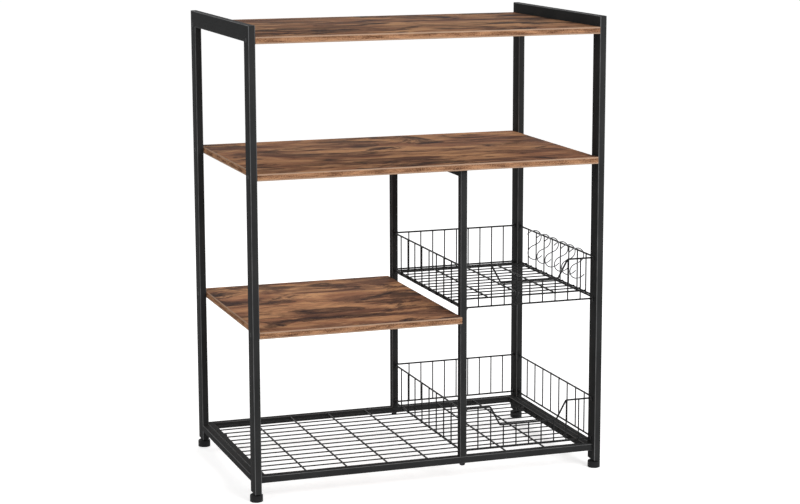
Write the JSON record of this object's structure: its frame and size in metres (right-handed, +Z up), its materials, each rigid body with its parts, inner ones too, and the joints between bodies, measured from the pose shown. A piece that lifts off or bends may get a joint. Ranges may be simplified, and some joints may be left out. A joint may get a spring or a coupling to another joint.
{
  "type": "kitchen rack",
  "caption": "Free-standing kitchen rack with wooden shelf boards in a black steel frame, wire basket panels with S-hooks, a wire grid base and levelling feet.",
  "frame": {"origin": "on the floor, in the middle of the four feet", "axes": "+X towards the basket bay (the viewer's right, seen from the front), +Y towards the back, +Z up; the front faces -Y"},
  "size_m": [0.8184, 0.5, 1.012],
  "materials": {
    "black_frame": "satin black powder coat on square and rectangular steel tube",
    "black_wire": "satin black powder coat on welded steel wire",
    "rustic_board": "rustic brown wood decor with darker streaks and a lighter edge band, satin",
    "bright_hook": "bright plated wire",
    "black_bolt": "black zinc",
    "black_foot": "matt black plastic",
    "black_plug": "matt black plastic"
  },
  "bodies": {
    "rack": {"base_bolt_left_back": "black_bolt", "base_bolt_left_front": "black_bolt", "base_bolt_right_back": "black_bolt", "base_bolt_right_front": "black_bolt", "base_grid": "black_wire", "base_rail_back": "black_frame", "base_rail_front": "black_frame", "base_rail_left": "black_frame", "base_rail_right": "black_frame", "board_lower": "rustic_board", "board_middle": "rustic_board", "board_screw_lower_left_back": "black_bolt", "board_screw_lower_left_front": "black_bolt", "board_screw_lower_right_back": "black_bolt", "board_screw_lower_right_front": "black_bolt", "board_screw_middle_left_back": "black_bolt", "board_screw_middle_left_front": "black_bolt", "board_screw_middle_right_back": "black_bolt", "board_screw_middle_right_front": "black_bolt", "board_screw_top_left_back": "black_bolt", "board_screw_top_left_front": "black_bolt", "board_screw_top_right_back": "black_bolt", "board_screw_top_right_front": "black_bolt", "board_top": "rustic_board", "centre_bolt_back": "black_bolt", "centre_bolt_front": "black_bolt", "centre_crossbar": "black_frame", "centre_post_back": "black_frame", "centre_post_front": "black_frame", "crossbar_screw_back": "black_bolt", "crossbar_screw_front": "black_bolt", "foot_plug_left_back": "black_plug", "foot_plug_left_front": "black_plug", "foot_plug_right_back": "black_plug", "foot_plug_right_front": "black_plug", "lower_panel_back": "black_wire", "lower_panel_front": "black_wire", "lower_panel_left": "black_wire", "lower_panel_right": "black_wire", "post_left_back": "black_frame", "post_left_front": "black_frame", "post_right_back": "black_frame", "post_right_front": "black_frame", "rail_left_bottom": "black_frame", "rail_left_top": "black_frame", "rail_right_bottom": "black_frame", "rail_right_top": "black_frame", "upper_panel_back": "black_wire", "upper_panel_front": "black_wire", "upper_tray": "black_wire"},
    "foot_left_back": {"foot_left_back": "black_foot"},
    "foot_left_front": {"foot_left_front": "black_foot"},
    "foot_right_back": {"foot_right_back": "black_foot"},
    "foot_right_front": {"foot_right_front": "black_foot"},
    "hook_1": {"hook_1": "bright_hook"},
    "hook_2": {"hook_2": "bright_hook"},
    "hook_3": {"hook_3": "bright_hook"},
    "hook_4": {"hook_4": "bright_hook"},
    "hook_5": {"hook_5": "bright_hook"},
    "hook_6": {"hook_6": "bright_hook"}
  },
  "joints": [
    {"name": "foot_left_back_level", "type": "slide", "parent": "rack", "child": "foot_left_back", "axis": [0, 0, -1], "range_m": [0, 0.01]},
    {"name": "foot_left_front_level", "type": "slide", "parent": "rack", "child": "foot_left_front", "axis": [0, 0, -1], "range_m": [0, 0.01]},
    {"name": "foot_right_back_level", "type": "slide", "parent": "rack", "child": "foot_right_back", "axis": [0, 0, -1], "range_m": [0, 0.01]},
    {"name": "foot_right_front_level", "type": "slide", "parent": "rack", "child": "foot_right_front", "axis": [0, 0, -1], "range_m": [0, 0.01]},
    {"name": "hook_1_swing", "type": "hinge", "parent": "rack", "child": "hook_1", "pos_m": [0.3925, 0.1235, 0.478], "axis": [0, 1, 0], "range_deg": [-60, 60]},
    {"name": "hook_2_swing", "type": "hinge", "parent": "rack", "child": "hook_2", "pos_m": [0.3925, 0.0685, 0.478], "axis": [0, 1, 0], "range_deg": [-60, 60]},
    {"name": "hook_3_swing", "type": "hinge", "parent": "rack", "child": "hook_3", "pos_m": [0.3925, 0.0205, 0.478], "axis": [0, 1, 0], "range_deg": [-60, 60]},
    {"name": "hook_4_swing", "type": "hinge", "parent": "rack", "child": "hook_4", "pos_m": [0.3925, -0.035, 0.478], "axis": [0, 1, 0], "range_deg": [-60, 60]},
    {"name": "hook_5_swing", "type": "hinge", "parent": "rack", "child": "hook_5", "pos_m": [0.3925, -0.0755, 0.478], "axis": [0, 1, 0], "range_deg": [-60, 60]},
    {"name": "hook_6_swing", "type": "hinge", "parent": "rack", "child": "hook_6", "pos_m": [0.3925, -0.1235, 0.478], "axis": [0, 1, 0], "range_deg": [-60, 60]}
  ]
}
